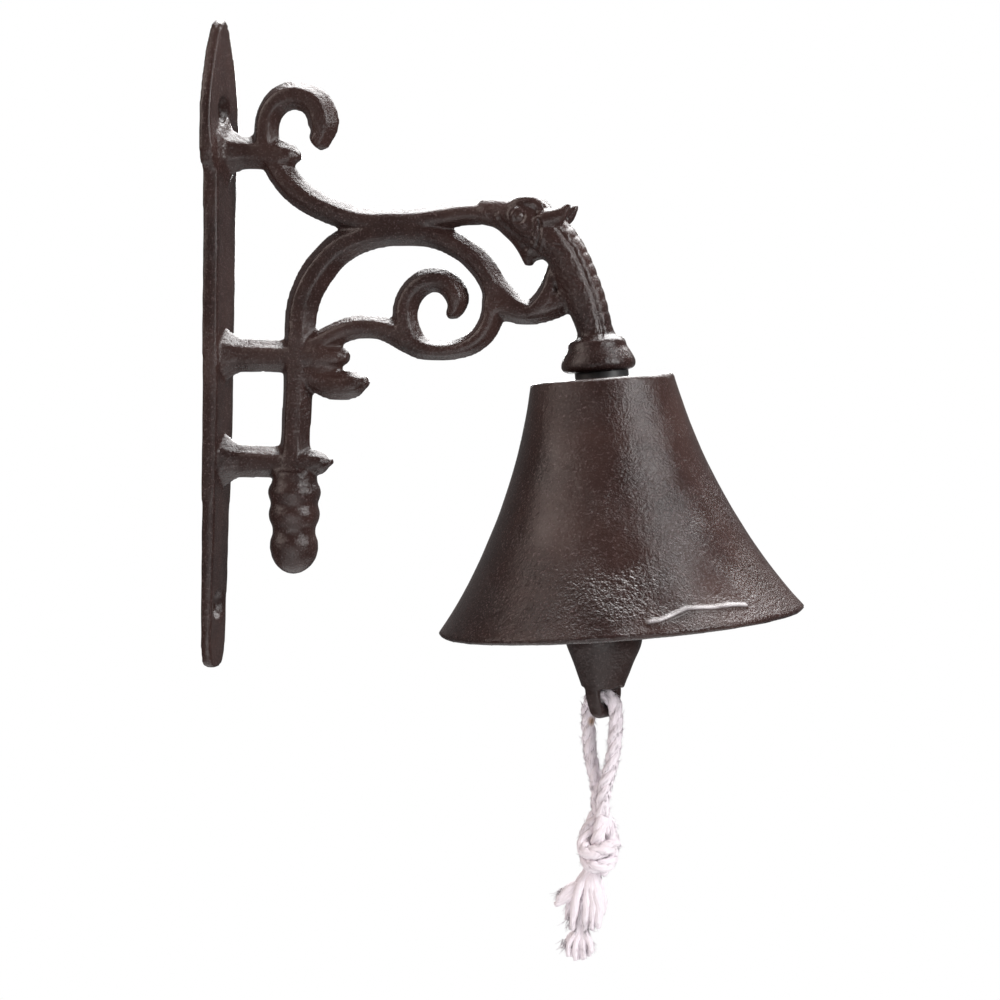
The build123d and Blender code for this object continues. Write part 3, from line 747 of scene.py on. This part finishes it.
def make_knot():
    bm, uv = start_piece()
    wraps = [(-1.5, 1.6, -147.6), (-2.6, 1.0, -149.6), (-4.0, 0.2, -152.6), (-5.0, -0.6, -156.2),
             (-4.6, -2.8, -159.4), (-1.4, -4.6, -159.3), (2.2, -4.5, -158.2), (4.9, -2.2, -157.0),
             (5.0, 1.6, -157.0), (2.2, 4.3, -158.4), (-1.9, 4.4, -160.0), (-4.7, 2.2, -161.2),
             (-4.0, -1.8, -162.8), (-0.6, -4.2, -163.7), (3.2, -3.4, -163.3), (4.5, -0.2, -161.8),
             (2.4, 2.8, -162.4), (-0.6, 2.4, -164.4), (-1.6, 0.4, -167.5)]
    wraps = spline_points(shifted(wraps))
    rope(bm, uv, wraps, WRAP_R, WRAP_LAY_MM, step=KNOT_STEP)
    lobe = [(0.6, 1.4, -147.2), (2.0, 1.2, -149.0), (3.7, 0.6, -152.0), (4.6, -0.2, -156.0), (4.2, 0.4, -160.0),
            (2.0, 1.6, -163.4), (0.2, 0.8, -167.0)]
    lobe = spline_points(shifted(lobe))
    rope(bm, uv, lobe, WRAP_R, WRAP_LAY_MM, start=4.0, step=KNOT_STEP)
    dive_out = [(1.3, -2.15, -146.6), (1.2, -2.3, -150.0), (0.2, -2.4, -153.6), (-0.8, -1.4, -157.4),
                (-0.8, 0.0, -160)]
    dive_in = [(-1.3, 2.15, -146.6), (-1.4, 1.6, -150.0), (-1.0, 0.6, -154.0), (0.2, 0.4, -158.0)]
    run_out, run_in = length_out / MM - 0.4, length_in / MM - 0.4
    rope(bm, uv, spline_points(shifted(dive_out)), DIVE_R, LAY_MM, start=run_out, step=KNOT_STEP)
    rope(bm, uv, spline_points(shifted(dive_in)), DIVE_R, LAY_MM, start=run_in, step=KNOT_STEP)
    fuzz(bm, uv, random.Random(5), wraps, WRAP_R, 420)
    fuzz(bm, uv, random.Random(6), lobe, WRAP_R, 160)
    return close_piece(bm, "rope_knot_strands", cotton, "rope", "cotton", "rope_knot")


knot = make_knot()

# %% [markdown]
# ## The frayed ends
#
# Untwisted cotton goes back to soft crimped yarns that fan out and end in a brush. One tuft sticks out towards
# the wall, the rest hangs in a sheaf, narrows and flares again. Yarns are strands with a slow waver, and some
# hundreds of loose fibres, three-sided and few-faced, break up the outline.

# %% Frayed tail
def yarn(bm, uv, dice, points, radius, end_r, waver, sides=7, step=1.0):
    """One soft yarn through its points, wavering and tapering."""
    line = even_steps(spline_points(shifted(points)), step * MM)
    seed = Vector((dice.uniform(0, 50), dice.uniform(0, 50), dice.uniform(0, 50)))
    radii = []
    for i, place in enumerate(line):
        share = i / (len(line) - 1)
        place += noise.noise_vector(place / (5 * MM) + seed) * waver * MM * min(1.0, share * 4)
        lump = 1 + 0.22 * noise.noise(place / (2.2 * MM) + seed)
        radii.append((radius + (end_r - radius) * max(0.0, share - 0.72) / 0.28) * lump * MM)
    strand(bm, uv, line, radii, sides, turn=dice.uniform(0, 9))


def make_tail():
    bm, uv = start_piece()
    dice = random.Random(11)
    top = (-1.0, 0.0, -165.0)
    for i in range(6):                       # the tuft that sticks out
        dy, dz = 1.0 * (i % 2) - 0.5, 1.0 * (i // 2) - 1.0
        tip = (-14.4 + 0.3 * i, -0.6 + dy, -177.4 + 0.9 * dz)
        yarn(bm, uv, dice, [top, (-3.2, dy, -169.6), (-7.4, -0.5 + dy, -172.6 + 1.1 * dz),
                            (-11.2, -0.6 + dy, -175.0 + 1.4 * dz), tip], 1.60, 1.05, 0.35)
    ends = [(-10.6, -183.4), (-9.4, -185.0), (-8.2, -186.2), (-6.8, -185.4), (-5.2, -187.0), (-3.8, -186.4),
            (-2.6, -186.8), (-1.6, -185.0), (-9.6, -181.6), (-6.0, -186.8), (-4.0, -184.8), (-7.6, -184.6),
            (-2.0, -183.0), (-8.6, -183.6), (-0.6, -184.6), (0.4, -183.4), (1.2, -181.0), (-3.0, -185.6),
            (0.6, -185.0), (-5.0, -185.4)]
    for i, (dx, z) in enumerate(ends):       # the sheaf
        dy = 2.2 * math.sin(i * 2.4)
        yarn(bm, uv, dice, [(-1.6 + 0.14 * dx, 0.4 * dy, -164.8), (-1.0 + 0.40 * dx, 0.8 * dy, -168.6),
                            (-0.2 + 0.80 * dx, dy, -173.6), (0.8 + 1.00 * dx, dy, -179.4), (dx, dy * 0.9, z)],
             1.50, 0.85, 0.4)
    for i in range(13):                      # the brush below the waist
        fan = -12.0 + 0.95 * i
        dy = 1.7 * math.sin(i * 1.9 + 1)
        low = -196.9 + 0.10 * (fan + 6.3) ** 2 + dice.uniform(0, 0.6)
        yarn(bm, uv, dice, [(-4.0 + 0.1 * fan, 0.3 * dy, -176.0), (-4.0 + 0.22 * fan, 0.4 * dy, -184.0),
                            (-3.8 + 0.26 * fan, 0.4 * dy, -187.4), (-1.2 + 0.84 * fan, dy, -190.4),
                            (-0.8 + 0.86 * fan, dy, min(low, -191.8))], 1.10, 0.70, 0.25)
    for i in range(620):                     # loose fibres
        where = dice.random()
        if where < 0.30:
            start = (dice.uniform(-12.0, -1.5), dice.uniform(-1.6, 1.6), -191.5 + dice.uniform(-1.0, 1.5))
            way = (0.16 * (start[0] + 6.3), 0.4 * start[1], -1.0)
        elif where < 0.55:
            start = (dice.uniform(-13.4, -8.0), dice.uniform(-1.4, 1.0), 0)
            start = (start[0], start[1], -172.0 + 0.42 * (start[0] + 7.4) + dice.uniform(-1.7, 1.2))
            way = (-1.0, dice.uniform(-0.2, 0.2), -0.45)
        else:
            start = (dice.uniform(-10.4, -1.0), dice.uniform(-2.8, 2.0), dice.uniform(-186.0, -176.0))
            way = (0.12 * (start[0] + 5.5), 0.2 * start[1], -1.0)
        fibre(bm, uv, dice, Vector((X, 0, 0)) + Vector(start), Vector(way).normalized(), dice.uniform(1.2, 2.8))
    return close_piece(bm, "rope_tail_yarns", cotton, "rope", "cotton", "rope_tail")


tail = make_tail()

# %% [markdown]
# ## Floor and light
#
# A plain pale floor under soft studio light. The paint shows little of its own colour and much of what it
# mirrors, so each light is placed for a sheen. Wide boxes overhead and behind whiten every top face, and a
# small low one behind picks out edges. A tall narrow one on the right makes the band on the bell, and a warm
# one on the left browns the other side. A low one in front lights the rope. The rest stays dim.

# %% Floor and light
FLOOR_R, FLOOR_Z = 0.95, -0.95
WORLD_ON_OBJECT = 0.15                   # the world's light; what the camera sees behind the object is 1


def make_floor():
    mesh = bpy.data.meshes.new("floor")
    bm = bmesh.new()
    bmesh.ops.create_circle(bm, cap_ends=True, segments=96, radius=FLOOR_R,
                            matrix=Matrix.Translation((0.1, 0, FLOOR_Z)))
    bm.to_mesh(mesh)
    bm.free()
    floor = bpy.data.objects.new("floor", mesh)
    bpy.context.collection.objects.link(floor)
    material, tree, out = start_material("pale floor")
    shader = add(tree, "ShaderNodeBsdfPrincipled", Base_Color=(0.8, 0.8, 0.8, 1), Roughness=0.9,
                 Specular_IOR_Level=0.0)
    tree.links.new(shader.outputs[0], out.inputs[0])
    mesh.materials.append(material)


def area_light(name, place, aim, size, power, colour=(1.0, 1.0, 1.0)):
    """A soft box that looks at a point; size is its width and height."""
    data = bpy.data.lights.new(name, "AREA")
    data.shape, data.size, data.size_y = "RECTANGLE", size[0], size[1]
    data.energy, data.color = power, colour
    light = bpy.data.objects.new(name, data)
    light.location = place
    light.rotation_euler = (Vector(aim) - Vector(place)).to_track_quat("-Z", "Y").to_euler()
    light.visible_camera = False
    bpy.context.collection.objects.link(light)


def make_world():
    """White behind the object, and a dimmer even light on it."""
    world = bpy.data.worlds.new("studio")
    bpy.context.scene.world = world
    world.use_nodes = True
    tree = world.node_tree
    tree.nodes.clear()
    out = tree.nodes.new("ShaderNodeOutputWorld")
    seen = add(tree, "ShaderNodeBackground", Color=(1, 1, 1, 1), Strength=1.0)
    soft = add(tree, "ShaderNodeBackground", Color=(1, 1, 1, 1), Strength=WORLD_ON_OBJECT)
    path = tree.nodes.new("ShaderNodeLightPath")
    mix = add(tree, "ShaderNodeMixShader", ("Fac", path.outputs["Is Camera Ray"]))
    tree.links.new(soft.outputs[0], mix.inputs[1])
    tree.links.new(seen.outputs[0], mix.inputs[2])
    tree.links.new(mix.outputs[0], out.inputs[0])


make_floor()
make_world()
area_light("top box", (0.12, 0.38, 0.92), (0.10, 0, 0), (1.0, 0.55), 32)
area_light("back box", (0.10, 1.00, 0.75), (0.10, 0, 0), (1.3, 0.4), 20)
area_light("low back box", (-0.24, 1.22, 0.16), (0.10, 0, 0), (0.36, 0.20), 5)
area_light("right box", (0.86, -0.32, 0.36), (0.14, 0, -0.03), (0.20, 0.60), 9)
area_light("low box", (0.24, -0.92, -0.46), (0.14, 0, -0.14), (1.0, 0.5), 5)
area_light("left box", (-0.66, -0.44, 0.42), (0.10, 0, 0.0), (0.35, 0.8), 5, (1.0, 0.86, 0.79))
